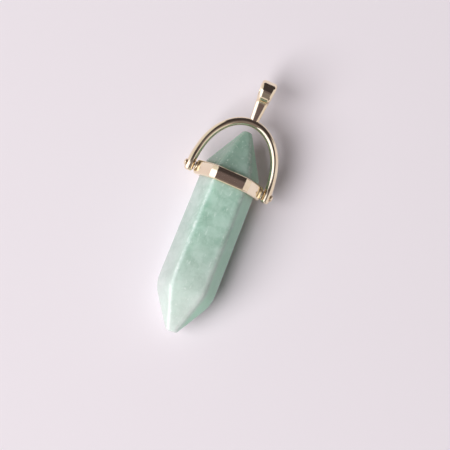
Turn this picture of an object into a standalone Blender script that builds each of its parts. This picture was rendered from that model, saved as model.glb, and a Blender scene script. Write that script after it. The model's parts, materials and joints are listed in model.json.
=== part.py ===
# Crystal point pendant: a six-sided, double-ended stone held in a hexagonal collar.
# A wire yoke is riveted to the collar's left and right corners and carries the bail.
# The pendant lies flat: bail toward +Y, width along X, up along +Z, in metres.

import math

import bmesh
import bpy
from mathutils import Matrix

MM = 0.001

# Stone, cut with a slightly wide facet above and below: the sizes of its section
# at the collar and at the lower shoulder, and the lengths along its axis
corners_at_collar = 9.25 * MM
corners_at_shoulder = 9.55 * MM
flats_at_collar = 8.0 * MM
flats_at_shoulder = 8.35 * MM
facet_at_collar = 5.0 * MM
facet_at_shoulder = 5.4 * MM
shoulder_above_collar = 0.3 * MM
upper_point_length = 6.7 * MM
lower_shoulder_depth = 18.4 * MM
lower_point_length = 6.85 * MM
side_corner_drop = 0.8 * MM
upper_tip_share = 0.16
lower_tip_share = 0.2
lower_tip_off_centre = 0.25 * MM
stone_edge_width = 0.08 * MM
stone_askew = math.radians(1.9)
stone_off_centre = 0.1 * MM

# Collar
collar_height = 2.3 * MM
collar_wall = 0.72 * MM
setting_gap = 0.3 * MM
corner_flat_width = 1.06 * MM
collar_edge_width = 0.12 * MM
boss_radius = 0.75 * MM
boss_height = 0.15 * MM

# Hinge: rivets pass through the yoke's thickened ends into the collar's corners
shank_radius = 0.3 * MM
head_radius = 0.55 * MM
head_height = 0.3 * MM
running_gap = 0.05 * MM

# Yoke
wire_radius = 0.65 * MM
lug_half_depth = 0.75 * MM
lug_reach = 1.1 * MM
lug_end_rounding = 0.4 * MM
lug_step = 0.03 * MM
leg_length = 1.1 * MM
leg_lean = 0.14 * MM
lean_height = 3.5 * MM
apex_clearance = 0.89 * MM

# Bail: from the side a ring on a short stem, narrower toward the yoke
bail_length = 6.45 * MM
bail_top_width = 2.6 * MM
bail_root_width = 1.4 * MM
bail_ring_radius = 1.85 * MM
bail_strap = 0.7 * MM
stem_half_depth = 0.55 * MM
stem_fillet = 0.7 * MM
bail_chamfer_width = 0.35 * MM
bail_chamfer_depth = 0.28 * MM

# Facets that stand in for the round shapes
round_sides = 32
arch_steps = 36
wire_resolution = 3
ring_steps = 14
fillet_steps = 4
lug_end_steps = 3
weld_distance = 0.001 * MM

FLAT_SHARE = math.cos(math.radians(30))

# Places that follow from the sizes; y runs along the pendant from the pivot line
upper_shoulder_y = collar_height / 2 + shoulder_above_collar
stone_top_y = upper_shoulder_y + upper_point_length
lower_shoulder_y = -lower_shoulder_depth
stone_bottom_y = lower_shoulder_y - lower_point_length


def stone_section(y):
    """Half the stone's widths across its corners, flats and upper facet: it widens downward."""
    share = (upper_shoulder_y - y) / (upper_shoulder_y - lower_shoulder_y)
    corners = corners_at_collar + share * (corners_at_shoulder - corners_at_collar)
    flats = flats_at_collar + share * (flats_at_shoulder - flats_at_collar)
    facet = facet_at_collar + share * (facet_at_shoulder - facet_at_collar)
    return corners / 2, flats / 2, facet / 2


def grown_section(section, distance):
    """The same hexagon with all its sides moved out by a distance."""
    corners, flats, facet = section
    side = math.hypot(corners - facet, flats)
    lean = (side - corners + facet) / flats
    return corners + distance * side / flats, flats + distance, facet + distance * lean


def slanted_half(section):
    """How far a hexagon's slanted sides lie from its centre."""
    corners, flats, facet = section
    return corners * flats / math.hypot(corners - facet, flats)


bore_section = grown_section(stone_section(-collar_height / 2), setting_gap)
bore_corner_x = bore_section[0]
collar_half = max(bore_section[1], slanted_half(bore_section)) + collar_wall
corner_cut = corner_flat_width / 2 / FLAT_SHARE
collar_corner_x = collar_half / FLAT_SHARE - corner_cut / 2

lug_inner_x = collar_corner_x + boss_height + running_gap
lug_thickness = 2 * (wire_radius + lug_step)
lug_centre_x = lug_inner_x + lug_thickness / 2
head_seat_x = lug_inner_x + lug_thickness + running_gap
bore_radius = shank_radius + running_gap

arch_top_y = stone_top_y + apex_clearance + wire_radius
bail_top_y = arch_top_y + wire_radius + bail_length
ring_centre_y = bail_top_y - bail_ring_radius
eye_radius = bail_ring_radius - bail_strap

# The pendant rests on the collar's lower rim and on one corner of the stone's lower
# shoulder, just inside their softened edges, and so it tilts a little up toward the bail
rim_y = -(collar_height / 2 - collar_edge_width)
shoulder_y = lower_shoulder_y + stone_edge_width
shoulder_flats, shoulder_facet = stone_section(shoulder_y)[1:]
contact_y = shoulder_y * math.cos(stone_askew) - shoulder_facet * math.sin(stone_askew)
rest_tilt = math.atan2(collar_half - shoulder_flats, rim_y - contact_y)
pivot_height = collar_half * math.cos(rest_tilt) - rim_y * math.sin(rest_tilt)
front_reach = ring_centre_y * math.cos(rest_tilt) + bail_ring_radius
tip_side_x = lower_tip_off_centre - lower_tip_share * shoulder_facet
tip_y = stone_bottom_y * math.cos(stone_askew) + tip_side_x * math.sin(stone_askew)
back_reach = (lower_tip_share * shoulder_flats * math.sin(rest_tilt)
              - tip_y * math.cos(rest_tilt))
pivot_y = (back_reach - front_reach) / 2


def clear_scene():
    """Remove whatever the scene holds."""
    for thing in list(bpy.data.objects):
        bpy.data.objects.remove(thing, do_unlink=True)


def make_collection(name):
    """A new collection under the scene's own."""
    collection = bpy.data.collections.new(name)
    bpy.context.scene.collection.children.link(collection)
    return collection


def linear(level):
    """A colour level from 0 to 255, as the linear value that a shader takes."""
    share = level / 255
    if share <= 0.04045:
        return share / 12.92
    return ((share + 0.055) / 1.055) ** 2.4


def make_material(name, levels, roughness, metallic):
    """A plain surface with a colour, a roughness and a metallic value."""
    material = bpy.data.materials.new(name)
    material.use_nodes = True
    shader = material.node_tree.nodes["Principled BSDF"]
    shader.inputs["Base Color"].default_value = [linear(level) for level in levels] + [1.0]
    shader.inputs["Roughness"].default_value = roughness
    shader.inputs["Metallic"].default_value = metallic
    return material


def make_part(name, data, material):
    """A visible piece of the pendant."""
    part = bpy.data.objects.new(name, data)
    parts.objects.link(part)
    part.data.materials.append(material)
    part.parent = resting_frame
    return part


def make_tool(name, data):
    """A solid that only joins or cuts another piece."""
    tool = bpy.data.objects.new(name, data)
    tools.objects.link(tool)
    tool.hide_render = True
    tool.display_type = "WIRE"
    tool.parent = resting_frame
    return tool


def combine(part, tool, operation):
    """Join a solid to a piece, or cut it away."""
    modifier = part.modifiers.new(tool.name, "BOOLEAN")
    modifier.object = tool
    modifier.operation = operation
    modifier.solver = "EXACT"


def soften_edges(part, width, segments, least_angle):
    """Round off the edges that turn by more than an angle."""
    modifier = part.modifiers.new("soft_edges", "BEVEL")
    modifier.width = width
    modifier.segments = segments
    modifier.limit_method = "ANGLE"
    modifier.angle_limit = least_angle


def turned_profile(name, profile):
    """A line of (radius, height) points, top to bottom, for a Screw modifier."""
    mesh = bpy.data.meshes.new(name)
    points = [(radius, 0.0, height) for radius, height in profile]
    edges = [(index, index + 1) for index in range(len(points) - 1)]
    mesh.from_pydata(points, edges, [])
    return mesh


def turn(part, steps):
    """Turn a profile about its own Z axis into a closed solid."""
    modifier = part.modifiers.new("turned", "SCREW")
    modifier.steps = steps
    modifier.render_steps = steps
    modifier.use_merge_vertices = True
    modifier.merge_threshold = weld_distance


def cylinder_mesh(name, radius, length):
    """A cylinder along X, centred on the origin."""
    mesh = bpy.data.meshes.new(name)
    shape = bmesh.new()
    bmesh.ops.create_cone(
        shape, cap_ends=True, segments=round_sides, radius1=radius, radius2=radius, depth=length,
        matrix=Matrix.Rotation(math.pi / 2, 4, "Y"))
    shape.to_mesh(mesh)
    shape.free()
    return mesh


def curve_as_mesh(curve):
    """The closed mesh of a curve, with its caps welded on."""
    holder = bpy.data.objects.new(curve.name, curve)
    tools.objects.link(holder)
    graph = bpy.context.evaluated_depsgraph_get()
    mesh = bpy.data.meshes.new_from_object(holder.evaluated_get(graph))
    bpy.data.objects.remove(holder, do_unlink=True)
    shape = bmesh.new()
    shape.from_mesh(mesh)
    bmesh.ops.remove_doubles(shape, verts=shape.verts, dist=weld_distance)
    bmesh.ops.recalc_face_normals(shape, faces=shape.faces)
    shape.to_mesh(mesh)
    shape.free()
    return mesh


def loft(name, sections):
    """A closed mesh through sections that have the same number of points."""
    mesh = bpy.data.meshes.new(name)
    shape = bmesh.new()
    rings = [[shape.verts.new(point) for point in section] for section in sections]
    for ring, following in zip(rings, rings[1:]):
        for index in range(len(ring)):
            after = (index + 1) % len(ring)
            shape.faces.new((ring[index], ring[after], following[after], following[index]))
    shape.faces.new(rings[0])
    shape.faces.new(rings[-1])
    bmesh.ops.recalc_face_normals(shape, faces=shape.faces)
    shape.to_mesh(mesh)
    shape.free()
    return mesh


def hexagon_corners(section):
    """The six corners of a section, two of them on X and a flat above and below."""
    corners, flats, facet = section
    return [(corners, 0.0), (facet, flats), (-facet, flats),
            (-corners, 0.0), (-facet, -flats), (facet, -flats)]


def make_stone(material):
    """A hexagonal crystal with a blunt tip at either end, its flats up and down.
    At the lower shoulder the two side corners lie nearer the tip than the other four,
    and the lower tip lies a little to one side."""
    upper = stone_section(upper_shoulder_y)
    lower = stone_section(lower_shoulder_y)
    rings = ((stone_top_y, upper, upper_tip_share, 0.0, 0.0),
             (upper_shoulder_y, upper, 1.0, 0.0, 0.0),
             (lower_shoulder_y, lower, 1.0, side_corner_drop, 0.0),
             (stone_bottom_y, lower, lower_tip_share, 0.0, lower_tip_off_centre))
    sections = []
    for y, section, share, drop, aside in rings:
        sections.append([(aside + share * x, y if z else y - drop, share * z)
                         for x, z in hexagon_corners(section)])
    stone = make_part("stone", loft("stone", sections), material)
    soften_edges(stone, stone_edge_width, 1, math.radians(20))
    stone.rotation_euler = (0.0, 0.0, stone_askew)
    stone.location = (stone_off_centre, 0.0, 0.0)


def cut_corners(corners, cut):
    """Replace each corner of an outline by two points, a length away along both its sides."""
    points = []
    for index, (x, z) in enumerate(corners):
        for other_x, other_z in (corners[index - 1], corners[(index + 1) % len(corners)]):
            share = cut / math.hypot(other_x - x, other_z - z)
            points.append((x + share * (other_x - x), z + share * (other_z - z)))
    return points


def make_collar(material):
    """A hexagonal band with flattened corners, a boss at each pivot and a bore through both."""
    curve = bpy.data.curves.new("collar", "CURVE")
    curve.dimensions = "2D"
    curve.fill_mode = "BOTH"
    curve.extrude = collar_height / 2
    regular = (collar_half / FLAT_SHARE, collar_half, collar_half / FLAT_SHARE / 2)
    outlines = (cut_corners(hexagon_corners(regular), corner_cut), hexagon_corners(bore_section))
    for outline in outlines:
        spline = curve.splines.new("POLY")
        spline.points.add(len(outline) - 1)
        spline.use_cyclic_u = True
        for point, (x, y) in zip(spline.points, outline):
            point.co = (x, y, 0.0, 1.0)
    mesh = curve_as_mesh(curve)
    mesh.transform(Matrix.Rotation(-math.pi / 2, 4, "X"))
    collar = make_part("collar", mesh, material)
    soften_edges(collar, collar_edge_width, 2, math.radians(70))
    root = (collar_corner_x + bore_corner_x) / 2
    boss_length = collar_corner_x + boss_height - root
    for name, side in (("boss_left", -1), ("boss_right", 1)):
        boss = make_tool(name, cylinder_mesh(name, boss_radius, boss_length))
        boss.location = (side * (root + boss_length / 2), 0.0, 0.0)
        combine(collar, boss, "UNION")
    combine(collar, pivot_bore, "DIFFERENCE")


def lean_out(y):
    """How far a leg has leaned out at a height above the pivot: smoothly more toward its foot."""
    share = max(0.0, 1 - y / lean_height)
    return leg_lean * share * share * (3 - 2 * share)


def arch_points():
    """The wire's centre line: half an ellipse on two legs, whose feet lean out a little."""
    rise = arch_top_y - leg_length
    half_width = lug_centre_x - leg_lean
    points = [(-half_width, 0.0)]
    for step in range(arch_steps + 1):
        angle = math.pi - math.pi * step / arch_steps
        points.append((half_width * math.cos(angle), leg_length + rise * math.sin(angle)))
    points.append((half_width, 0.0))
    return [(x + math.copysign(lean_out(y), x), y) for x, y in points]


def arch_mesh():
    """The bent wire, as a closed mesh."""
    curve = bpy.data.curves.new("arch", "CURVE")
    curve.dimensions = "3D"
    curve.bevel_depth = wire_radius
    curve.bevel_resolution = wire_resolution
    curve.use_fill_caps = True
    points = arch_points()
    spline = curve.splines.new("POLY")
    spline.points.add(len(points) - 1)
    for point, (x, y) in zip(spline.points, points):
        point.co = (x, y, 0.0, 1.0)
    return curve_as_mesh(curve)


def bail_outline(inset):
    """The bail's side outline as (y, z) points: a ring that runs through fillets into a stem."""
    ring = bail_ring_radius - inset
    half_depth = stem_half_depth - inset
    fillet = stem_fillet + inset
    fillet_z = half_depth + fillet
    fillet_y = ring_centre_y - math.sqrt((ring + fillet) ** 2 - fillet_z ** 2)
    meeting = math.atan2(fillet_z, fillet_y - ring_centre_y)
    side = []
    for step in range(ring_steps + 1):
        angle = meeting * step / ring_steps
        side.append((ring_centre_y + ring * math.cos(angle), ring * math.sin(angle)))
    start = meeting - math.pi
    end = -math.pi / 2
    for step in range(1, fillet_steps + 1):
        angle = start + (end - start) * step / fillet_steps
        side.append((fillet_y + fillet * math.cos(angle), fillet_z + fillet * math.sin(angle)))
    side.append((arch_top_y, half_depth))
    return side + [(y, -z) for y, z in reversed(side[1:])]


def bail_half_width(y):
    """Half the bail's width, which grows evenly from the yoke to its top."""
    share = (y - arch_top_y) / (bail_top_y - arch_top_y)
    return (bail_root_width + share * (bail_top_width - bail_root_width)) / 2


def bail_mesh():
    """Four side outlines, joined across the width into a strap with chamfered edges."""
    sections = []
    for side, inset, narrower in (
            (-1, bail_chamfer_depth, 0.0), (-1, 0.0, bail_chamfer_width),
            (1, 0.0, bail_chamfer_width), (1, bail_chamfer_depth, 0.0)):
        outline = bail_outline(inset)
        sections.append([(side * (bail_half_width(y) - narrower), y, z) for y, z in outline])
    return loft("bail", sections)


def lug_mesh():
    """The thickened end of a leg: an oval bar that starts inside the wire and ends rounded."""
    half_width = lug_thickness / 2
    start = wire_radius - leg_lean
    rings = [(leg_length, start, start), (leg_length / 2, half_width, lug_half_depth)]
    for step in range(lug_end_steps + 1):
        angle = math.pi / 2 * step / lug_end_steps
        inset = lug_end_rounding * (1 - math.cos(angle))
        y = -lug_reach + lug_end_rounding * (1 - math.sin(angle))
        rings.append((y, half_width - inset, lug_half_depth - inset))
    sections = []
    for y, width, depth in rings:
        turns = [math.tau * index / round_sides for index in range(round_sides)]
        sections.append([(width * math.cos(turn), y, depth * math.sin(turn)) for turn in turns])
    return loft("lug", sections)


def make_yoke(material):
    """One casting: the bent wire, its two lugs and the bail. Its origin is on the pivot line."""
    yoke = make_part("yoke", arch_mesh(), material)
    for name, side in (("lug_left", -1), ("lug_right", 1)):
        lug = make_tool(name, lug_mesh())
        lug.location = (side * lug_centre_x, 0.0, 0.0)
        combine(yoke, lug, "UNION")
    eye = make_tool("bail_eye", cylinder_mesh("bail_eye", eye_radius, 2 * bail_top_width))
    eye.location = (0.0, ring_centre_y, 0.0)
    bail = make_tool("bail", bail_mesh())
    combine(bail, eye, "DIFFERENCE")
    combine(yoke, bail, "UNION")
    combine(yoke, pivot_bore, "DIFFERENCE")


def make_rivet(name, turn_to_side, material):
    """A domed head on a plain shank that ends inside the collar's corner."""
    dome_steps = 5
    profile = [(0.0, head_seat_x + head_height)]
    for step in range(1, dome_steps + 1):
        angle = math.pi / 2 * step / dome_steps
        profile.append((head_radius * math.sin(angle), head_seat_x + head_height * math.cos(angle)))
    profile += [(shank_radius, head_seat_x), (shank_radius, bore_corner_x), (0.0, bore_corner_x)]
    rivet = make_part(name, turned_profile(name, profile), material)
    turn(rivet, round_sides)
    rivet.rotation_euler = (0.0, turn_to_side, 0.0)


clear_scene()
parts = make_collection("crystal_point_pendant")
tools = make_collection("cutters_and_joined_shapes")

resting_frame = bpy.data.objects.new("resting_frame", None)
parts.objects.link(resting_frame)
resting_frame.location = (0.0, pivot_y, pivot_height)
resting_frame.rotation_euler = (rest_tilt, 0.0, 0.0)

pivot_bore = make_tool("pivot_bore", cylinder_mesh("pivot_bore", bore_radius, 4 * lug_centre_x))

crystal = make_material("green_aventurine", (160, 188, 174), 0.2, 0.0)
collar_gold = make_material("collar_gold", (232, 208, 176), 0.12, 1.0)
yoke_gold = make_material("yoke_gold", (226, 202, 170), 0.12, 1.0)
rivet_gold = make_material("rivet_gold", (220, 196, 164), 0.15, 1.0)

make_stone(crystal)
make_collar(collar_gold)
make_yoke(yoke_gold)
make_rivet("rivet_left", -math.pi / 2, rivet_gold)
make_rivet("rivet_right", math.pi / 2, rivet_gold)
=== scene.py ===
# %% [markdown]
# # A crystal point pendant
# The pendant is a six-sided green stone, held in a faceted metal collar. A bent wire, the yoke,
# is riveted to the collar's left and right corners and carries the bail for a chain.
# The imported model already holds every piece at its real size. This script gives the pieces
# their finish: smooth curves, softened edges, polished plating and cloudy stone.
# It starts by loading that model, and it keeps the model's box to compare sizes at the end.

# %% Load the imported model
import json
import math

import bmesh
import bpy
import numpy as np
from mathutils import Matrix, Vector


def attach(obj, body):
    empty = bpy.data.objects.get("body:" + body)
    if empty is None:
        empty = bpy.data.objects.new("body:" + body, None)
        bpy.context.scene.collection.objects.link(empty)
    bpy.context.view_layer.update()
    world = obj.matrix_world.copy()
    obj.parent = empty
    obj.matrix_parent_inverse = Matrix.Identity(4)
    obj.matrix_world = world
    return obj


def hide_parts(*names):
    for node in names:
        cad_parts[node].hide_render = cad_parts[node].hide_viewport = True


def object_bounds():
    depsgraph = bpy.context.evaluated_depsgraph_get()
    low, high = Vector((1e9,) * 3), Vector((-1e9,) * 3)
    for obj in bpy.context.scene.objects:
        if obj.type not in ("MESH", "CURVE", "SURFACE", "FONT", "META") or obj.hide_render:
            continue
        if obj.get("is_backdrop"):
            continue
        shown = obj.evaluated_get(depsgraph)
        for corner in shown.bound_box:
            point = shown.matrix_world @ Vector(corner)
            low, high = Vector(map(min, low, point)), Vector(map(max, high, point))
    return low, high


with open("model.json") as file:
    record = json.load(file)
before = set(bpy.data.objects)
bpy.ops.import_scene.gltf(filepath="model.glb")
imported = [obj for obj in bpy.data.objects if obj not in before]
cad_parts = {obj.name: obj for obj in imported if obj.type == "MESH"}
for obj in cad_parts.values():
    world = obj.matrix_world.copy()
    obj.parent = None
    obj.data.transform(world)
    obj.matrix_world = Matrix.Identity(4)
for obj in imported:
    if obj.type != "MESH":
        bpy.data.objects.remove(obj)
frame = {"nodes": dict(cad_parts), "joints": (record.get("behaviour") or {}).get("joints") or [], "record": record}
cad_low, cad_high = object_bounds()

print("Pieces in the packed model:", ", ".join(sorted(frame["nodes"])))

# %% [markdown]
# ## Where things are
# The pendant lies on a surface, tilted a little, because the collar is thicker than the stone.
# Modelling is easier in the pendant's own directions: x along the hinge line, y along the
# stone and z out of its front, in millimetres, with the middle of the hinge line at zero.
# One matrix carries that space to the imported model's metres. Its place comes from the hinge,
# and its tilt from the face that the collar rests on.

# %% The pendant's own millimetres
MM = 0.001

hinge = frame["joints"][0]
mounts = {mount["name"]: mount for mount in frame["record"]["mounts"]}
rest_axis = mounts["resting_face"]["axis"]
rest_tilt = math.atan2(rest_axis[1], -rest_axis[2])
to_frame = (Matrix.Translation(hinge["pos_m"]) @ Matrix.Rotation(rest_tilt, 4, "X")
            @ Matrix.Scale(MM, 4))


def own_box(node):
    """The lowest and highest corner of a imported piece, in the pendant's own millimetres."""
    back = to_frame.inverted()
    points = [back @ vertex.co for vertex in frame["nodes"][node].data.vertices]
    return [[limit(p[i] for p in points) for i in range(3)] for limit in (min, max)]


collar_high = own_box("collar")[1]
yoke_low, yoke_high = own_box("yoke")
rivet_low, rivet_high = own_box("rivet_right")
print("Tilt at rest: %.2f degrees" % math.degrees(rest_tilt))
print("Collar, half height and half thickness: %.2f, %.2f mm" % (collar_high[1], collar_high[2]))

# %% [markdown]
# ## Helpers for meshes
# Two shapes come back again and again in this kind of jewellery: a loft, which joins outlines
# with the same number of points, and a turned solid, which is a profile spun about its axis.
# The axis is x here, because bosses, rivets and bores lie on the hinge line or run beside it.

# %% Meshes from outlines and profiles
MERGE_DISTANCE = 0.0005
EDGE_STEPS = 6
TOOL_EDGE = 0.05


def add_piece(name, data):
    """Put a mesh, a lamp or a camera in the scene."""
    piece = bpy.data.objects.new(name, data)
    bpy.context.scene.collection.objects.link(piece)
    return piece


def close_shape(name, shape):
    """Turn the faces of a closed shape outward, and add it to the scene."""
    bmesh.ops.recalc_face_normals(shape, faces=shape.faces)
    mesh = bpy.data.meshes.new(name)
    shape.to_mesh(mesh)
    shape.free()
    return add_piece(name, mesh)


def loft(name, outlines):
    """A closed piece through outlines that have the same number of points."""
    shape = bmesh.new()
    rings = [[shape.verts.new(point) for point in outline] for outline in outlines]
    for ring, following in zip(rings, rings[1:]):
        for index in range(len(ring)):
            after = (index + 1) % len(ring)
            shape.faces.new((ring[index], ring[after], following[after], following[index]))
    shape.faces.new(rings[0])
    shape.faces.new(rings[-1])
    return close_shape(name, shape)


def turned(name, profile, steps=96):
    """A closed piece turned about X, from (radius, x) points that start and end on the axis."""
    shape = bmesh.new()
    points = [shape.verts.new((x, radius, 0.0)) for radius, x in profile]
    edges = [shape.edges.new(pair) for pair in zip(points, points[1:])]
    bmesh.ops.spin(shape, geom=points + edges, axis=(1, 0, 0), angle=math.tau, steps=steps)
    bmesh.ops.remove_doubles(shape, verts=shape.verts, dist=MERGE_DISTANCE)
    return close_shape(name, shape)


def arc(centre, radius, start, end, steps):
    """Points on a circle from one angle to another, in degrees."""
    angles = [math.radians(start + (end - start) * step / steps) for step in range(steps + 1)]
    return [(centre[0] + radius * math.cos(a), centre[1] + radius * math.sin(a)) for a in angles]


def rounded_disc(radius, thickness, edge):
    """The profile of a disc with rounded edges, centred on zero, as (radius, x) points."""
    seat = thickness / 2 - edge
    upper = arc((radius - edge, seat), edge, 90, 0, EDGE_STEPS)
    lower = arc((radius - edge, -seat), edge, 0, -90, EDGE_STEPS)
    return [(0.0, thickness / 2)] + upper + lower + [(0.0, -thickness / 2)]


# %% [markdown]
# ## Helpers for modifiers
# Bevels, unions and cuts are made as modifiers, one after another, and then baked into a
# plain mesh. Flat faces next to soft edges shade wrongly if every normal is averaged, so
# each piece ends with weighted normals: large faces stay flat, and only the edges curve.

# %% Modifiers and finished pieces
FLAT_FACE_WEIGHT = 80


def soften(piece, width, segments, least_angle):
    """Round the edges that turn by more than an angle in degrees."""
    modifier = piece.modifiers.new("soft edges", "BEVEL")
    modifier.width = width
    modifier.segments = segments
    modifier.limit_method = "ANGLE"
    modifier.angle_limit = math.radians(least_angle)
    modifier.harden_normals = False
    bake(piece)


def combine(piece, tool, operation):
    """Join a solid to a piece or cut it away, and remove the solid."""
    modifier = piece.modifiers.new(tool.name, "BOOLEAN")
    modifier.object = tool
    modifier.operation = operation
    modifier.solver = "EXACT"
    bake(piece)
    bpy.data.objects.remove(tool, do_unlink=True)


def bake(piece):
    """Turn a piece and its modifiers into a plain mesh."""
    bpy.context.view_layer.update()
    graph = bpy.context.evaluated_depsgraph_get()
    mesh = bpy.data.meshes.new_from_object(piece.evaluated_get(graph))
    piece.modifiers.clear()
    piece.data = mesh


def weld(piece):
    """Merge the points of a piece that lie on each other, and turn its faces outward."""
    shape = bmesh.new()
    shape.from_mesh(piece.data)
    bmesh.ops.remove_doubles(shape, verts=shape.verts, dist=MERGE_DISTANCE)
    bmesh.ops.recalc_face_normals(shape, faces=shape.faces)
    shape.to_mesh(piece.data)
    shape.free()


def finish_piece(piece, material, sharp_angle):
    """Shade a piece smooth between its sharp edges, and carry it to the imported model's place."""
    piece.data.shade_smooth()
    piece.data.set_sharp_from_angle(angle=math.radians(sharp_angle))
    modifier = piece.modifiers.new("flat faces stay flat", "WEIGHTED_NORMAL")
    modifier.keep_sharp = True
    modifier.weight = FLAT_FACE_WEIGHT
    bake(piece)
    piece.data.transform(to_frame)
    piece.data.materials.clear()
    piece.data.materials.append(material)
    points = np.array([vertex.co for vertex in piece.data.vertices])
    size = (points.max(axis=0) - points.min(axis=0)) / MM
    print("%s: %d faces, %.2f x %.2f x %.2f mm" % (piece.name, len(piece.data.polygons), *size))


# %% [markdown]
# ## Sums as node trees
# Patterns for materials, and sizes in Geometry Nodes, are sums on sockets. Drawing them node
# by node hides what they say. This small class wraps a socket, so that the sum is written as
# in Python and each operator adds its Math node. Any other node comes from one method.

# %% A socket that can calculate
class Wire:
    """The output of a node, with arithmetic that adds Math nodes to the same tree."""

    def __init__(self, tree, socket=None):
        self.tree = tree
        self.socket = socket

    def node(self, kind, settings=None, inputs=None, output=0):
        """Add a node: its settings first, then its inputs as values or as other wires."""
        made = self.tree.nodes.new(kind)
        for name, value in (settings or {}).items():
            setattr(made, name, value)
        self.feed(made.inputs, inputs or {})
        return Wire(self.tree, made.outputs[output])

    def feed(self, sockets, values):
        """Give each named socket its value, or link a wire to it."""
        for name, value in values.items():
            if isinstance(value, Wire):
                self.tree.links.new(value.socket, sockets[name])
            else:
                sockets[name].default_value = value

    def maths(self, operation, first, second=0.0):
        """The result of a Math node, whose second value some operations leave unused."""
        return self.node("ShaderNodeMath", {"operation": operation}, {0: first, 1: second})

    def __add__(self, other):
        return self.maths("ADD", self, other)

    def __radd__(self, other):
        return self.maths("ADD", other, self)

    def __sub__(self, other):
        return self.maths("SUBTRACT", self, other)

    def __rsub__(self, other):
        return self.maths("SUBTRACT", other, self)

    def __mul__(self, other):
        return self.maths("MULTIPLY", self, other)

    def __truediv__(self, other):
        return self.maths("DIVIDE", self, other)

    def ramp(self, low, high):
        """0 below one value, 1 above the other, and a soft step between them."""
        return self.node("ShaderNodeMapRange", {"interpolation_type": "SMOOTHSTEP"},
                         {"Value": self, "From Min": low, "From Max": high})

    def mix(self, first, second):
        """The first colour where this mask is 0, the second where it is 1."""
        return self.node("ShaderNodeMix", {"data_type": "RGBA"}, {0: self, 6: first, 7: second}, 2)

    def part(self, letter):
        """One part of a vector: X, Y or Z."""
        return self.node("ShaderNodeSeparateXYZ", inputs={0: self}, output=letter)

    def noise(self, place, fineness, output=0, **shape):
        """A noise at a place, so many waves to the millimetre, with other inputs by name."""
        return self.node("ShaderNodeTexNoise", inputs={
            "Vector": place, "Scale": fineness, **shape}, output=output)


def new_material(name):
    """A material, the inputs of its shader and a wire to write its sums with."""
    material = bpy.data.materials.new(name)
    material.use_nodes = True
    shader = material.node_tree.nodes["Principled BSDF"]
    return material, shader.inputs, Wire(material.node_tree)


def linear(red, green, blue):
    """A screen colour, with levels from 0 to 255, as the linear colour that a shader takes."""
    shares = [level / 255 for level in (red, green, blue)]
    return [s / 12.92 if s <= 0.04045 else ((s + 0.055) / 1.055) ** 2.4 for s in shares] + [1.0]


# %% [markdown]
# ## Plating
# The metal is a cast alloy with a thin pale gold plating, polished but not perfectly: it
# carries a faint haze, and the broad faces are never quite true. A metallic shader gives the
# colour to the reflections. A slow noise shifts that colour between two tones, a fine noise
# drives the haze, a very low bump bends the reflections, and a Bevel node rounds the inside
# corners where cast pieces run together.

# %% Polished pale gold
slow_fineness, fine_fineness = 0.45, 3.5
slow_levels, fine_levels = (0.35, 0.65), (0.4, 0.75)
least_haze, more_haze = 0.07, 0.05
inner_corner_radius = 0.12
wave_height = 0.012
wave_strength = 0.25
fine_wave_share = 0.12


def make_plating(name, colour, deep_colour):
    """Polished metal whose colour shifts slowly between two tones."""
    material, shader, wire = new_material(name)
    place = wire.node("ShaderNodeVectorMath", {"operation": "SCALE"}, {
        0: wire.node("ShaderNodeTexCoord", output="Object"), "Scale": 1 / MM})
    slow = wire.noise(place, slow_fineness, Detail=2.0)
    fine = wire.noise(place, fine_fineness, Detail=4.0)
    rounded = wire.node("ShaderNodeBevel", {"samples": 6}, {"Radius": inner_corner_radius * MM})
    waves = wire.node("ShaderNodeBump", inputs={
        "Strength": wave_strength, "Distance": wave_height * MM,
        "Height": slow + fine * fine_wave_share, "Normal": rounded})
    wire.feed(shader, {
        "Metallic": 1.0, "Base Color": slow.ramp(*slow_levels).mix(colour, deep_colour),
        "Roughness": least_haze + fine.ramp(*fine_levels) * more_haze, "Normal": waves})
    return material


plating = make_plating("pale_gold_plating", linear(255, 241, 213), linear(251, 233, 204))
print("Plating ready")

# %% [markdown]
# ## The stone's sizes
# The crystal is a hexagon in section, a little wider toward its long point, with a blunt
# pyramid at each end. It sits a little askew and off centre in its collar. These sizes come
# first, because the stone's colour needs them too: a highlight is painted along its ridges.

# %% Sizes of the crystal
stone_widths = {"corners": (9.25, 9.55), "flats": (8.0, 8.35), "facet": (5.0, 5.4)}
shoulder_above_collar = 0.3
upper_shoulder_y = collar_high[1] + shoulder_above_collar
upper_point_length = 6.7
upper_tip_y = upper_shoulder_y + upper_point_length
lower_shoulder_y = -18.4
lower_point_length = 6.85
lower_tip_y = lower_shoulder_y - lower_point_length
side_corner_drop = 0.8
upper_tip_share = 0.16
lower_tip_share = 0.2
lower_tip_off_centre = 0.25
stone_off_centre = 0.1
stone_askew = math.radians(1.9)
stone_edge_width = 0.4
askew = Matrix.Translation((stone_off_centre, 0.0, 0.0)) @ Matrix.Rotation(stone_askew, 4, "Z")


def stone_section(y):
    """Half the stone's widths at a height: across its corners, its flats and its front facet."""
    share = (upper_shoulder_y - y) / (upper_shoulder_y - lower_shoulder_y)
    return [(top + share * (bottom - top)) / 2 for top, bottom in stone_widths.values()]


print("The stone is %.1f mm long" % (upper_tip_y - lower_tip_y))
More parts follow.
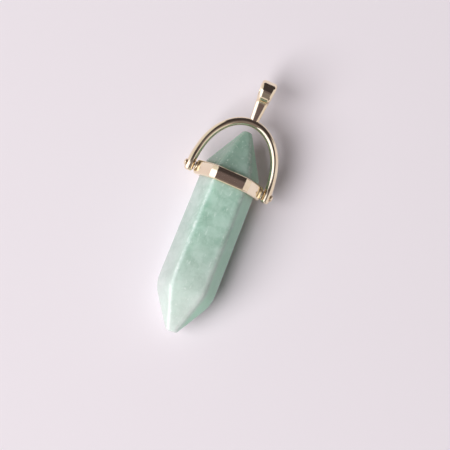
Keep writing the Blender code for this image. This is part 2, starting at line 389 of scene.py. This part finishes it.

# %% [markdown]
# ## The stone's colour
# Green aventurine is a quartz full of tiny plates. Under a polish it looks cloudy: veils a
# few millimetres across and scattered pale needles and flecks. Light goes a short way into it,
# so it never looks painted. The veils are noise, read in the stone's own directions, and
# subsurface scattering lets the light in. The colour turns paler toward the long point. Light
# and shade are painted into the colour as well: painted shade darkens the upper point, most on
# its left; a painted sheen whitens the lit left side; a painted glow lightens the facets on the
# right, where light would come out; and a broken white line along the ridges beside the front
# facet is a painted highlight. Each of these is a mask and a colour, and the colours are laid
# over the green one by one.

# %% Where the ridges run
def along_point(along, shoulder_y, tip_y, shoulder_width, tip_share):
    """Half the front facet's width on one of the points, which shrinks toward its tip."""
    share = (along - tip_y) * (1 / (shoulder_y - tip_y))
    return share * (shoulder_width * (1 - tip_share)) + shoulder_width * tip_share


def beyond_ridges(wire, across, along):
    """How far a place lies outside the front facet's left and right ridge, in millimetres."""
    top, bottom = stone_section(upper_shoulder_y)[2], stone_section(lower_shoulder_y)[2]
    slope = (top - bottom) / (upper_shoulder_y - lower_shoulder_y)
    body = (along - upper_shoulder_y) * slope + top
    upper = along_point(along, upper_shoulder_y, upper_tip_y, top, upper_tip_share)
    lower = along_point(along, lower_shoulder_y, lower_tip_y, bottom, lower_tip_share)
    ridge = wire.maths("MINIMUM", wire.maths("MINIMUM", body, upper), lower)
    toward_tip = wire.maths("MAXIMUM", (lower_shoulder_y - along) * (1 / lower_point_length), 0.0)
    aside = across - toward_tip * lower_tip_off_centre
    return aside * -1 - ridge, aside - ridge


# %% Sizes of the pattern
# How fine each noise is, in waves or cells to the millimetre
stone_noises = {"drift": 0.5, "veils": 0.4, "grains": 1.3, "needles": 0.9, "fray": 3.0,
                "flecks": 1.1, "highlight_gaps": 1.1, "polish": 1.1}
# How far the drift bends the veils and the fray breaks up the flecks, in millimetres
drift_reach, fray_reach = 1.6, 0.7
needle_turn = (0.0, 0.3, math.radians(-14))
needle_squeeze = (3.2, 1.0, 3.2)
# The levels of a noise between which its mask rises from 0 to 1
levels = {"cloud": (0.36, 0.66), "grain": (0.4, 0.66), "streaks": (0.6, 0.72),
          "fleck size": (0.05, 0.2), "flecks kept": (0.5, 0.6), "highlight_gaps": (0.46, 0.66)}
# The millimetres across and along the stone between which a mask rises from 0 to 1
across_the_stone = {"off the left": (-4.2, -1.8), "out of the shade": (-3.0, 1.5),
                    "on the right": (-1.0, 1.0)}
along_the_stone = {"off the long point": (-25.0, -6.0), "past the collar": (-1.0, 2.0),
                   "upper point": (-0.5, 2.5)}
past_the_ridge = {"glow": (0.0, 0.9), "highlight width": (0.02, 0.38)}
shoulder_blur = 1.0
# How much of the painted shade on the upper point is missing on its right
paler_on_right = 0.75

# How strong the painted ridge highlight is: on the body, on the upper point, how much less on
# the right, and how much of the white line goes on between the gaps on the lower point
body_highlight, upper_point_highlight, less_highlight_on_right, unbroken_highlight = 0.7, 0.7, 0.75, 0.8

# The green's two tones, and over it, in this order: how much of a layer shows, and its colour
greens = linear(159, 194, 177), linear(183, 213, 199)
layers = {
    "grain": (0.35, linear(204, 226, 215)),
    # Painted shade: the upper point darker, most on its left
    "painted shade of the upper point": (0.7, linear(134, 160, 143)),
    "streaks": (0.6, linear(226, 239, 232)),
    "flecks": (0.55, linear(236, 244, 240)),
    "pale long point": (0.55, linear(229, 229, 228)),
    # A painted sheen: the lit left side whitened below the collar
    "painted sheen on the left side": (0.45, linear(200, 201, 202)),
    # A painted glow on the right facets, where light would come out of the stone
    "painted glow of the right facets": (0.75, linear(178, 232, 206)),
    # A painted highlight: a broken white line along the ridges
    "painted ridge highlight": (0.52, linear(242, 248, 245)),
}
print("Layers over the green:", ", ".join(layers))


# %% Masks of the stone
def pushed(wire, start, place, fineness, reach):
    """A start, pushed about in all directions by a noise at a place."""
    push = wire.noise(place, fineness, output="Color")
    return wire.node("ShaderNodeVectorMath", {"operation": "MULTIPLY_ADD"},
                     {0: push, 1: (reach, reach, reach), 2: start})


def pattern_masks(wire, place):
    """The masks of the pattern that runs through all of the stone."""
    bent = pushed(wire, place, place, stone_noises["drift"], drift_reach)
    frayed = pushed(wire, bent, place, stone_noises["fray"], fray_reach)
    slanted = wire.node("ShaderNodeMapping", {"vector_type": "POINT"}, {
        "Vector": place, "Rotation": needle_turn, "Scale": needle_squeeze})
    veils = wire.noise(bent, stone_noises["veils"], Detail=3.0, Roughness=0.55)
    grains = wire.noise(bent, stone_noises["grains"], Detail=4.0, Roughness=0.6)
    needles = wire.noise(slanted, stone_noises["needles"], Detail=3.0, Roughness=0.6)
    cells = {"Vector": frayed, "Scale": stone_noises["flecks"]}
    from_middle = wire.node("ShaderNodeTexVoronoi", inputs=cells, output="Distance")
    lot = wire.node("ShaderNodeTexVoronoi", inputs=cells, output="Color").part("X")
    flecks = (1 - from_middle.ramp(*levels["fleck size"])) * lot.ramp(*levels["flecks kept"])
    return {"cloud": veils.ramp(*levels["cloud"]), "grain": grains.ramp(*levels["grain"]),
            "streaks": needles.ramp(*levels["streaks"]), "flecks": flecks}


def place_masks(wire, place):
    """The masks of the stone's ends, sides and ridges, most of them painted light and shade."""
    across, along = place.part("X"), place.part("Y")
    upper_point = along.ramp(*along_the_stone["upper point"])
    lower_point = 1 - along.ramp(lower_shoulder_y - shoulder_blur, lower_shoulder_y + shoulder_blur)
    long_point = 1 - along.ramp(*along_the_stone["off the long point"])
    below_collar = 1 - along.ramp(*along_the_stone["past the collar"])
    # The left facets, which get a painted sheen below the collar
    on_left = 1 - across.ramp(*across_the_stone["off the left"])
    on_right = across.ramp(*across_the_stone["on the right"])
    # Painted shade over the upper point: full on its left, a quarter of it on its right
    shaded = 1 - across.ramp(*across_the_stone["out of the shade"]) * paler_on_right
    past_left, past_right = beyond_ridges(wire, across, along)
    from_ridge = wire.maths("MINIMUM", wire.maths("ABSOLUTE", past_left),
                            wire.maths("ABSOLUTE", past_right))
    # A painted highlight along the ridges, broken into pieces by a noise, strongest on the left and the long point
    near_ridge = 1 - from_ridge.ramp(*past_the_ridge["highlight width"])
    highlight_gaps = wire.noise(place, stone_noises["highlight_gaps"], Detail=3.0, Roughness=0.7)
    broken = wire.maths("MAXIMUM", highlight_gaps.ramp(*levels["highlight_gaps"]), lower_point * unbroken_highlight)
    highlight_strength = ((1 - upper_point) * (1 - on_right * less_highlight_on_right)
            * (lower_point * (1 - body_highlight) + body_highlight)
            + upper_point * on_right * upper_point_highlight)
    return {"painted shade of the upper point": upper_point * shaded, "pale long point": long_point,
            "painted sheen on the left side": on_left * below_collar,
            # A painted glow past the right ridge
            "painted glow of the right facets": past_right.ramp(*past_the_ridge["glow"]),
            "painted ridge highlight": near_ridge * broken * highlight_strength}


# %% Cloudy green aventurine
least_stone_haze, grain_haze = 0.18, 0.06
polish_wave_height = 0.03
polish_wave_strength = 0.5
streak_wave_share = 0.1
light_depth = 3.4


def stone_millimetres(wire):
    """The place on the stone in its own directions, in millimetres."""
    stone_place = to_frame @ askew
    return wire.node("ShaderNodeMapping", {"vector_type": "TEXTURE"}, {
        "Vector": wire.node("ShaderNodeTexCoord", output="Object"), "Scale": (MM, MM, MM),
        "Location": stone_place.to_translation(), "Rotation": stone_place.to_euler()})


def make_aventurine(name):
    """Cloudy stone: its layers over the green, a glossy polish and light that sinks in."""
    material, shader, wire = new_material(name)
    place = stone_millimetres(wire)
    masks = {**pattern_masks(wire, place), **place_masks(wire, place)}
    colour = masks["cloud"].mix(*greens)
    for layer, (share, tint) in layers.items():
        colour = (masks[layer] * share).mix(colour, tint)
    polish = wire.noise(place, stone_noises["polish"], Detail=3.0)
    waves = wire.node("ShaderNodeBump", inputs={
        "Strength": polish_wave_strength, "Distance": polish_wave_height * MM,
        "Height": polish + masks["streaks"] * streak_wave_share})
    wire.feed(shader, {
        "Base Color": colour, "Roughness": least_stone_haze + masks["grain"] * grain_haze,
        "IOR": 1.54, "Specular IOR Level": 0.7, "Subsurface Weight": 0.85,
        "Subsurface Scale": light_depth * MM, "Subsurface Radius": (0.85, 1.0, 0.95),
        "Normal": waves})
    return material


aventurine = make_aventurine("green_aventurine_stone")
print("Stone colour ready")

# %% [markdown]
# ## The stone's shape
# A loft through four hexagons gives the crystal and its two points, and a bevel wears the
# edges round. Its side corners run farther down than its front ones, as a hand-cut point's do,
# and where the long point begins the edge is polished to a soft turn.

# %% Hexagons of the stone
def hexagon(section, share=1.0):
    """The corners of a section as (x, z) points, with a flat to the front and to the back."""
    corners, flats, facet = [share * width for width in section]
    return [(corners, 0.0), (facet, flats), (-facet, flats),
            (-corners, 0.0), (-facet, -flats), (facet, -flats)]


def stone_ring(y, share, drop=0.0, aside=0.0):
    """A ring of the stone, whose two side corners lie lower than the others by the drop."""
    section = stone_section(max(min(y, upper_shoulder_y), lower_shoulder_y))
    return [(x + aside, y if z else y - drop, z) for x, z in hexagon(section, share)]


def between(first, second, share):
    """A ring part of the way from one ring to another."""
    return [tuple(Vector(a).lerp(Vector(b), share)) for a, b in zip(first, second)]


upper_tip = stone_ring(upper_tip_y, upper_tip_share)
upper_shoulder = stone_ring(upper_shoulder_y, 1.0)
lower_shoulder = stone_ring(lower_shoulder_y, 1.0, side_corner_drop)
lower_tip = stone_ring(lower_tip_y, lower_tip_share, 0.0, lower_tip_off_centre)

# The lower shoulder is polished round: its ring makes way for a short curve of rings
shoulder_round = 1.5
shoulder_steps = 5
body_length = upper_shoulder_y - lower_shoulder_y
above = between(lower_shoulder, upper_shoulder, shoulder_round / body_length)
below = between(lower_shoulder, lower_tip, shoulder_round / lower_point_length)
curve = []
for step in range(shoulder_steps + 1):
    share = step / shoulder_steps
    arriving = between(above, lower_shoulder, share)
    leaving = between(lower_shoulder, below, share)
    curve.append(between(arriving, leaving, share))

stone = loft("crystal", [upper_tip, upper_shoulder, *curve, lower_tip])
stone.data.transform(askew)
soften(stone, stone_edge_width, segments=6, least_angle=20)
print("The rounded crystal has %d faces" % len(stone.data.polygons))

# %% [markdown]
# ## Uneven polish
# A face that was ground by hand is never quite flat, and the eye finds that in how the
# light runs over it. Geometry Nodes are good for this, because the rule is the same on every
# point: split the faces, then move each point along its normal by a slow noise. The sizes are
# inputs of the tree, and the noise has a fixed seed.

# %% A node tree for uneven faces
def new_node_tree(name, inputs):
    """An empty Geometry Nodes tree with named inputs, and the wire of its group input."""
    tree = bpy.data.node_groups.new(name, "GeometryNodeTree")
    tree.interface.new_socket("Geometry", in_out="OUTPUT", socket_type="NodeSocketGeometry")
    for label, kind in inputs:
        tree.interface.new_socket(label, in_out="INPUT", socket_type="NodeSocket" + kind)
    return tree, tree.nodes.new("NodeGroupInput").outputs


def end_node_tree(tree, geometry, material_wire):
    """Realize the instances, set the material and close the tree."""
    real = geometry.node("GeometryNodeRealizeInstances", inputs={"Geometry": geometry})
    dressed = real.node("GeometryNodeSetMaterial", inputs={
        "Geometry": real, "Material": material_wire})
    output = tree.nodes.new("NodeGroupOutput")
    tree.links.new(dressed.socket, output.inputs["Geometry"])


def run_node_tree(piece, tree, values):
    """Give a piece the tree with these values, and bake the result into its mesh."""
    modifier = piece.modifiers.new(tree.name, "NODES")
    modifier.node_group = tree
    for item in tree.interface.items_tree:
        if item.in_out == "INPUT" and item.name in values:
            modifier[item.identifier] = values[item.name]
    bake(piece)


tree, given = new_node_tree("uneven faces", [
    ("Geometry", "Geometry"), ("Material", "Material"), ("Level", "Int"),
    ("Height", "Float"), ("Grain", "Float"), ("Seed", "Float")])
wire = Wire(tree)
split = wire.node("GeometryNodeSubdivideMesh", inputs={
    "Mesh": Wire(tree, given["Geometry"]), "Level": Wire(tree, given["Level"])})
noise = wire.node("ShaderNodeTexNoise", {"noise_dimensions": "4D"}, {
    "W": Wire(tree, given["Seed"]), "Scale": Wire(tree, given["Grain"]), "Detail": 1.0})
normal = wire.node("GeometryNodeInputNormal")
shift = wire.node("ShaderNodeVectorMath", {"operation": "SCALE"}, {
    0: normal, "Scale": (noise - 0.5) * Wire(tree, given["Height"])})
moved = wire.node("GeometryNodeSetPosition", inputs={"Geometry": split, "Offset": shift})
end_node_tree(tree, moved, Wire(tree, given["Material"]))

run_node_tree(stone, tree, {
    "Material": aventurine, "Level": 3, "Height": 0.05, "Grain": 0.22, "Seed": 4.0})
finish_piece(stone, aventurine, sharp_angle=50)

# %% [markdown]
# ## The collar
# The collar is one casting: a hexagonal band with flattened corners. From rim to rim its facets
# are crowned by a hair, as polishing leaves them, and the rims are rounded, which gives the
# bright and dark lines along them. It could be a curve with a bevel, but that would round every
# corner alike. Here a loft through shrinking outlines shapes the crown and the rims, the stone's
# own section, grown by the glue line, is cut out of it, and a narrow bevel breaks the corners.

# %% Hexagonal band with flattened corners
FLAT_SHARE = math.cos(math.radians(30))
corner_flat_width = 1.06
glue_line = 0.05
boss_radius = 0.75
boss_height = 0.15
boss_edge_width = 0.04
facet_crown = 0.03
crown_steps = 6
rim_edge_width = 0.42
rim_steps = 8
corner_edge_width = 0.05
shank_radius = 0.3
running_gap = 0.05
tool_margin = 1.0


def cut_corners(corners, cut):
    """Replace each corner of an outline by two points, a length away along both its sides."""
    points = []
    for index, corner in enumerate(corners):
        for other in (corners[index - 1], corners[(index + 1) % len(corners)]):
            away = Vector(other) - Vector(corner)
            points.append(tuple(Vector(corner) + away * (cut / away.length)))
    return points


def grown_section(section, distance):
    """The same hexagon with all its sides moved out by a distance."""
    corners, flats, facet = section
    side = math.hypot(corners - facet, flats)
    lean = (side - corners + facet) / flats
    return corners + distance * side / flats, flats + distance, facet + distance * lean


def pivot_bore():
    """A tool that drills the hinge line right through, with room for the rivets to turn."""
    return turned("drill", rounded_disc(shank_radius + running_gap, 4 * yoke_high[0], TOOL_EDGE))


half_height = collar_high[1]
half_flats = collar_high[2]


def band_outline(inset):
    """The collar's outline as (x, z) points, with all its sides moved in."""
    flats = half_flats - inset
    cut = corner_flat_width / 2 / FLAT_SHARE - 2 * inset * (1 / FLAT_SHARE - 1)
    return cut_corners(hexagon((flats / FLAT_SHARE, flats, flats / FLAT_SHARE / 2)), cut)


# The rim and the crown as (y, inset) points, and the same again for the lower half
flat_half = half_height - rim_edge_width
rim = [(flat_half + rise, rim_edge_width - reach + facet_crown)
       for reach, rise in arc((0.0, 0.0), rim_edge_width, 90, 0, rim_steps)]
shares = [1 - 2 * step / crown_steps for step in range(1, crown_steps)]
crown = [(flat_half * share, facet_crown * share ** 2) for share in shares]
rim += crown + [(-y, inset) for y, inset in reversed(rim)]
collar = loft("faceted_collar", [
    [(x, y, z) for x, z in band_outline(inset)] for y, inset in rim])

bore = loft("bore", [
    [(x, y, z) for x, z in hexagon(grown_section(stone_section(y), glue_line))]
    for y in (half_height + tool_margin, -half_height - tool_margin)])
bore.data.transform(askew)
combine(collar, bore, "DIFFERENCE")
soften(collar, corner_edge_width, segments=2, least_angle=25)
# A boss sits on the flat of the left corner and one on that of the right
corner_x = half_flats / FLAT_SHARE - corner_flat_width / 2 / FLAT_SHARE / 2
for side in (-1, 1):
    boss = turned("boss", rounded_disc(boss_radius, 2 * boss_height, boss_edge_width))
    boss.data.transform(Matrix.Translation((side * corner_x, 0.0, 0.0)))
    combine(collar, boss, "UNION")
combine(collar, pivot_bore(), "DIFFERENCE")
finish_piece(collar, plating, sharp_angle=25)

# %% [markdown]
# ## The yoke's wire
# The wire runs down one side on a straight leg, bends into half an ellipse over the stone's
# upper point, and comes down the other side. Its ends are the lugs: there it is forged a little
# deeper, so that there is metal round the rivet, and rounded off. All this follows a rule, so it
# is made with Geometry Nodes: a line of points, each set to its place by the rule, becomes a
# curve and then a round wire. The inputs are the sizes that a goldsmith would give.

# %% The rule for the bent wire
tree, given = new_node_tree("bent wire", [
    ("Material", "Material"), ("Points", "Int"), ("Sides", "Int"), ("Wire Radius", "Float"),
    ("Half Width", "Float"), ("Leg Length", "Float"), ("Leg Lean", "Float"), ("Rise", "Float"),
    ("Leg Share", "Float"), ("Lug Reach", "Float"), ("Lug Width", "Float"), ("Lug Depth", "Float"),
    ("End Rounding", "Float"), ("Forged Length", "Float")])
size = {name: Wire(tree, socket) for name, socket in given.items() if name}
wire = Wire(tree)
line = wire.node("GeometryNodeMeshLine", inputs={"Count": size["Points"]})
travel = (wire.node("GeometryNodeInputIndex") / (size["Points"] - 1)
          * (1 + size["Leg Share"] * 2) - size["Leg Share"])
bend = wire.maths("MINIMUM", wire.maths("MAXIMUM", travel, 0.0), 1.0)
leg = wire.maths("ABSOLUTE", travel - bend) / size["Leg Share"]
drop = wire.maths("SINE", leg * (math.pi / 2)) * (size["Leg Length"] + size["Lug Reach"])
along = wire.maths("SINE", bend * math.pi) * size["Rise"] + size["Leg Length"] - drop
low = 1 - (along / size["Forged Length"]).ramp(0.0, 1.0)
across = (wire.maths("COSINE", bend * math.pi) * -1 * size["Half Width"]
          + wire.maths("SIGN", travel - 0.5) * low * size["Leg Lean"])
placed = wire.node("GeometryNodeSetPosition", inputs={
    "Geometry": line,
    "Position": wire.node("ShaderNodeCombineXYZ", inputs={"X": across, "Y": along})})
closing = wire.maths("MAXIMUM", 1 - (along + size["Lug Reach"]) / size["End Rounding"], 0.0)
inset = (1 - wire.maths("SQRT", 1 - closing * closing)) * size["End Rounding"]
radius = low * (size["Lug Width"] - size["Wire Radius"]) + size["Wire Radius"] - inset
path = wire.node("GeometryNodeMeshToCurve", inputs={"Mesh": placed})
round_profile = wire.node("GeometryNodeCurvePrimitiveCircle", inputs={
    "Resolution": size["Sides"], "Radius": 1.0})
solid = wire.node("GeometryNodeCurveToMesh", inputs={
    "Curve": path, "Profile Curve": round_profile, "Scale": radius, "Fill Caps": True})
place = wire.node("GeometryNodeInputPosition")
height = place.part("Y")
deeper = ((1 - (height / size["Forged Length"]).ramp(0.0, 1.0))
          * (size["Lug Depth"] / size["Lug Width"] - 1))
stretch = wire.node("ShaderNodeCombineXYZ", inputs={"X": 1.0, "Y": 1.0, "Z": deeper + 1})
stretched = wire.node("ShaderNodeVectorMath", {"operation": "MULTIPLY"}, {0: place, 1: stretch})
forged = wire.node("GeometryNodeSetPosition", inputs={"Geometry": solid, "Position": stretched})
end_node_tree(tree, forged, size["Material"])

# %% The wire at its sizes
wire_radius = 0.65
leg_length = 1.1
leg_lean = 0.14
lug_swell = 0.03
lug_half_width = wire_radius + lug_swell
lug_half_depth = 0.75
lug_end_rounding = 0.4
forged_length = 3.5
lug_reach = -yoke_low[1]
lug_x = yoke_high[0] - lug_half_width
apex_clearance = 0.89
arch_top_y = upper_tip_y + apex_clearance + wire_radius

yoke = add_piece("yoke_and_bail", bpy.data.meshes.new("yoke_and_bail"))
run_node_tree(yoke, tree, {
    "Material": plating, "Points": 241, "Sides": 48, "Wire Radius": wire_radius,
    "Half Width": lug_x - leg_lean, "Leg Length": leg_length, "Leg Lean": leg_lean,
    "Rise": arch_top_y - leg_length, "Leg Share": 0.15, "Lug Reach": lug_reach,
    "Lug Width": lug_half_width, "Lug Depth": lug_half_depth, "End Rounding": lug_end_rounding,
    "Forged Length": forged_length})
weld(yoke)
print("The wire spans %.1f mm between its ends and rises %.1f mm" % (2 * lug_x, arch_top_y))

# %% [markdown]
# ## The bail
# The bail is a strap that runs round an eye: from the side it is a ring on a stem, from the
# front it widens toward the top, and its front edges are chamfered. The ring's outline is two
# arcs that meet smoothly, so it is worked out and lofted across the width. It is cast together
# with the wire, so the two become one solid, and the rivets' bores are drilled last.

# %% The bail's side outline
bail_top_y = yoke_high[1]
bail_ring_radius = yoke_high[2]
bail_strap = 0.7
bail_top_width = 2.6
bail_root_width = 1.4
stem_half_depth = 0.55
stem_fillet = 0.45
bail_chamfer_width = 0.35
bail_chamfer_depth = 0.28
ring_centre_y = bail_top_y - bail_ring_radius
ring_steps = 56
fillet_steps = 16


def bail_outline(inset):
    """The bail from the side as (y, z) points: a ring that runs through fillets into a stem."""
    ring = bail_ring_radius - inset
    half_depth = stem_half_depth - inset
    fillet = stem_fillet + inset
    fillet_z = half_depth + fillet
    fillet_y = ring_centre_y - math.sqrt((ring + fillet) ** 2 - fillet_z ** 2)
    meeting = math.degrees(math.atan2(fillet_z, fillet_y - ring_centre_y))
    front = arc((ring_centre_y, 0.0), ring, 0.0, meeting, ring_steps)
    front += arc((fillet_y, fillet_z), fillet, meeting - 180, -90, fillet_steps)[1:]
    front.append((arch_top_y, half_depth))
    return front + [(y, -z) for y, z in reversed(front[1:])]


def bail_half_width(y):
    """Half the bail's width, which grows evenly from the yoke to its top."""
    share = (y - arch_top_y) / (bail_top_y - arch_top_y)
    return (bail_root_width + share * (bail_top_width - bail_root_width)) / 2


def bail_section(side, inset, narrower):
    """The side outline, placed across the width."""
    return [(side * (bail_half_width(y) - narrower), y, z) for y, z in bail_outline(inset)]


# %% One casting: wire and bail
bail_edge_width = 0.2
eye_radius = bail_ring_radius - bail_strap

bail = loft("bail", [
    bail_section(-1, bail_chamfer_depth, 0.0), bail_section(-1, 0.0, bail_chamfer_width),
    bail_section(1, 0.0, bail_chamfer_width), bail_section(1, bail_chamfer_depth, 0.0)])
eye = turned("eye", rounded_disc(eye_radius, 2 * bail_top_width, TOOL_EDGE), steps=128)
eye.data.transform(Matrix.Translation((0.0, ring_centre_y, 0.0)))
combine(bail, eye, "DIFFERENCE")
soften(bail, bail_edge_width, segments=6, least_angle=28)
combine(yoke, bail, "UNION")
combine(yoke, pivot_bore(), "DIFFERENCE")
finish_piece(yoke, plating, sharp_angle=32)

# %% [markdown]
# ## Rivets
# Each rivet has a domed head outside its lug and a shank that ends inside the collar. The two
# are alike, so one is turned and Geometry Nodes set it at both ends of the hinge line, facing
# out. Mirroring would do as well, but instances scale to any number of rivets.

# %% Two rivets from one
head_radius = rivet_high[2]
head_height = 0.3
head_seat_x = rivet_high[0] - head_height
shank_end_x = rivet_low[0]

dome = [(head_radius * math.sin(a), head_seat_x + head_height * math.cos(a))
        for a in map(math.radians, range(0, 91, 9))]
profile = dome + [(shank_radius, head_seat_x), (shank_radius, shank_end_x), (0.0, shank_end_x)]
model_rivet = turned("model_rivet", profile, steps=64)

tree, given = new_node_tree("rivets on a line", [
    ("Material", "Material"), ("Rivet", "Object"), ("Count", "Int")])
wire = Wire(tree)
seats = wire.node("GeometryNodeMeshLine", inputs={
    "Count": Wire(tree, given["Count"]), "Offset": (0.0, 0.0, 0.0)})
rivet = wire.node("GeometryNodeObjectInfo", inputs={"Object": Wire(tree, given["Rivet"])},
                  output="Geometry")
half_turn = wire.node("GeometryNodeInputIndex") * math.pi
facing = wire.node("ShaderNodeCombineXYZ", inputs={"Z": half_turn})
pair = wire.node("GeometryNodeInstanceOnPoints", inputs={
    "Points": seats, "Instance": rivet, "Rotation": facing})
end_node_tree(tree, pair, Wire(tree, given["Material"]))
rivets = add_piece("hinge_rivets", bpy.data.meshes.new("hinge_rivets"))
run_node_tree(rivets, tree, {"Material": plating, "Rivet": model_rivet, "Count": 2})
bpy.data.objects.remove(model_rivet, do_unlink=True)
finish_piece(rivets, plating, sharp_angle=35)

# %% [markdown]
# ## What moves with what
# The yoke swings on the rivets. The stone, the collar and the rivets stay together. Each
# finished piece takes the place of a packed one, which is hidden. Each finished piece
# stands for a packed one, which goes on doing the collisions.

# %% Bodies, replaced pieces and slots
for piece, body, nodes, slot in (
        (stone, "root", ("stone",), "green_aventurine"),
        (collar, "root", ("collar",), "pale_gold"),
        (rivets, "root", ("rivet_left", "rivet_right"), "pale_gold"),
        (yoke, "yoke", ("yoke",), "pale_gold")):
    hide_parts(*nodes)
    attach(piece, body)

# %% [markdown]
# ## The table
# The pendant lies on a plain pale surface. It is matt, so that it shows soft shadows and
# lends its light to the undersides of the metal.

# %% Pale floor
floor_half = 1.5


def make_matt(name, colour):
    """A surface that scatters nearly all of its light."""
    material, shader, wire = new_material(name)
    wire.feed(shader, {"Base Color": colour, "Roughness": 0.9, "Specular IOR Level": 0.2})
    return material


corners = [(x * floor_half, y * floor_half, 0.0) for x, y in ((-1, -1), (1, -1), (1, 1), (-1, 1))]
floor_mesh = bpy.data.meshes.new("pale_floor")
floor_mesh.from_pydata(corners, [], [(0, 1, 2, 3)])
floor_mesh.materials.append(make_matt("pale_floor", linear(241, 235, 241)))
floor = add_piece("pale_floor", floor_mesh)
floor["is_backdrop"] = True

# %% [markdown]
# ## Light
# Polished metal shows what stands round it, so the room matters as much as the lamp. The lamp
# is as large as a window, to the left and toward the viewer, and draws the soft shadow. The
# room is painted on the world by direction, where each surface fills a range along x and along
# y: the window, a cream wall to the right, and a low light toward the viewer's side. Overhead
# and beyond the bail the room stays dark, which gives the metal its dark bands. The metal
# mirrors all of it, while the lamp takes the window's place in lighting the matt surfaces.

# %% The room round the table
def direction(azimuth, zenith):
    """A unit vector: azimuth from +X toward +Y, zenith from straight up, in degrees."""
    a, z = math.radians(azimuth), math.radians(zenith)
    return Vector((math.sin(z) * math.cos(a), math.sin(z) * math.sin(a), math.cos(z)))


def within(value, low, high, edge=0.03):
    """1 where a value lies between two limits, with soft edges, and 0 elsewhere."""
    return value.ramp(low - edge, low + edge) * (1 - value.ramp(high - edge, high + edge))


# Each surface of the room: its range along x and along y, its brightness and its colour
room = {
    "overhead": ((-0.3, 0.35), (-0.4, 0.1), 0.15, (1.0, 0.8, 0.88)),
    "front corner": ((-0.2, 0.7), (-1.1, -0.2), 0.21, (1.0, 0.88, 0.86)),
    "near right": ((0.3, 0.7), (-0.5, -0.02), 0.34, (1.0, 0.95, 0.86)),
    "low front": ((-0.6, 0.7), (-1.1, -0.9), 0.75, (1.0, 0.93, 0.88)),
    "right wall": ((0.52, 1.1), (-0.6, 0.7), 0.76, (1.0, 0.94, 0.94)),
    "wall past the window": ((-1.1, -0.6), (0.0, 0.75), 0.7, (1.0, 0.96, 0.92)),
    "window": ((-1.1, -0.13), (-0.9, 0.05), 1.4, (0.97, 1.0, 1.1)),
    "window's far end": ((-1.1, -0.74), (-0.2, 0.1), 1.8, (0.97, 1.0, 1.1)),
}
dark_room = (0.05, 0.041, 0.044, 1.0)
fill_share = (0.35, 0.32, 0.31)
backdrop = linear(226, 219, 224)

world = bpy.data.worlds.new("studio")
bpy.context.scene.world = world
world.use_nodes = True
wire = Wire(world.node_tree)
looking = wire.node("ShaderNodeTexCoord", output="Generated")
toward_x, toward_y = looking.part("X"), looking.part("Y")
walls = wire.node("ShaderNodeRGB")
walls.socket.default_value = dark_room
mirrored = walls
# The window's surfaces come last, so the walls are the room as it was before them
for name, (x_range, y_range, brightness, tint) in room.items():
    mask = within(toward_x, *x_range) * within(toward_y, *y_range)
    mirrored = mask.mix(mirrored, [brightness * level for level in tint] + [1.0])
    if not name.startswith("window"):
        walls = mirrored
fill = wire.node("ShaderNodeVectorMath", {"operation": "MULTIPLY"}, {0: walls, 1: fill_share})
in_metal = wire.node("ShaderNodeLightPath", output="Is Glossy Ray")
in_picture = wire.node("ShaderNodeLightPath", output="Is Camera Ray")
background = world.node_tree.nodes["Background"]
wire.feed(background.inputs, {"Color": in_picture.mix(in_metal.mix(fill, mirrored), backdrop)})
print("The room has %d lit surfaces" % len(room))

# %% The lamp at the window
lamp_azimuth = 228
lamp_zenith = 43.5
lamp_distance = 1.5
lamp_size = 1.3
lamp_power = 30.1
lamp_direction = direction(lamp_azimuth, lamp_zenith)
lamp_data = bpy.data.lights.new("key_lamp", "AREA")
lamp_data.shape = "DISK"
lamp_data.size = lamp_size
lamp_data.energy = lamp_power
lamp_data.color = (1.0, 0.985, 0.99)
lamp = add_piece("key_lamp", lamp_data)
lamp.location = lamp_direction * lamp_distance
lamp.rotation_euler = lamp_direction.to_track_quat("Z", "Y").to_euler()
lamp.visible_glossy = False
print("Lamp %.0f degrees above the floor" % math.degrees(math.asin(lamp_direction.z)))

# %% [markdown]
# ## Camera
# The picture was taken from almost straight above, with the bail's end turned to the right in
# it. The distance and the lens together set the scale, in picture widths for each millimetre.

# %% Camera above the pendant
picture_pixels = 450
pixels_per_mm = 6.40
camera_azimuth = math.radians(-21.74)
camera_elevation = math.radians(82.27)
camera_roll = math.radians(23.39)
camera_distance = 450 * MM
camera_target = Vector(hinge["pos_m"]) + Vector((2.37, -6.52, -1.18)) * MM

camera_data = bpy.data.cameras.new("camera")
camera_data.lens = pixels_per_mm * camera_distance / MM * camera_data.sensor_width / picture_pixels
camera_data.clip_start = 10 * MM
camera = add_piece("camera", camera_data)
back = Vector((math.cos(camera_elevation) * math.sin(camera_azimuth),
               -math.cos(camera_elevation) * math.cos(camera_azimuth),
               math.sin(camera_elevation)))
up = (Vector((0.0, 1.0, 0.0)) - back * back.y).normalized()
right = up.cross(back)
rolled_right = right * math.cos(camera_roll) + up * math.sin(camera_roll)
rolled_up = up * math.cos(camera_roll) - right * math.sin(camera_roll)
turn = Matrix((rolled_right, rolled_up, back)).transposed().to_4x4()
camera.matrix_world = Matrix.Translation(camera_target + back * camera_distance) @ turn
bpy.context.scene.camera = camera
bpy.context.scene.view_settings.view_transform = "Standard"
print("Lens %.0f mm" % camera_data.lens)

# %% [markdown]
# ## Sizes
# The finished pieces have to fill the imported model's box and not more. The change from the
# one box to the other is printed, in millimetres.

# %% Both boxes
low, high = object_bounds()
size_change = [round((b - a) / MM, 3) for a, b in zip([*cad_low, *cad_high], [*low, *high])]
print("Size change, mm:", size_change)
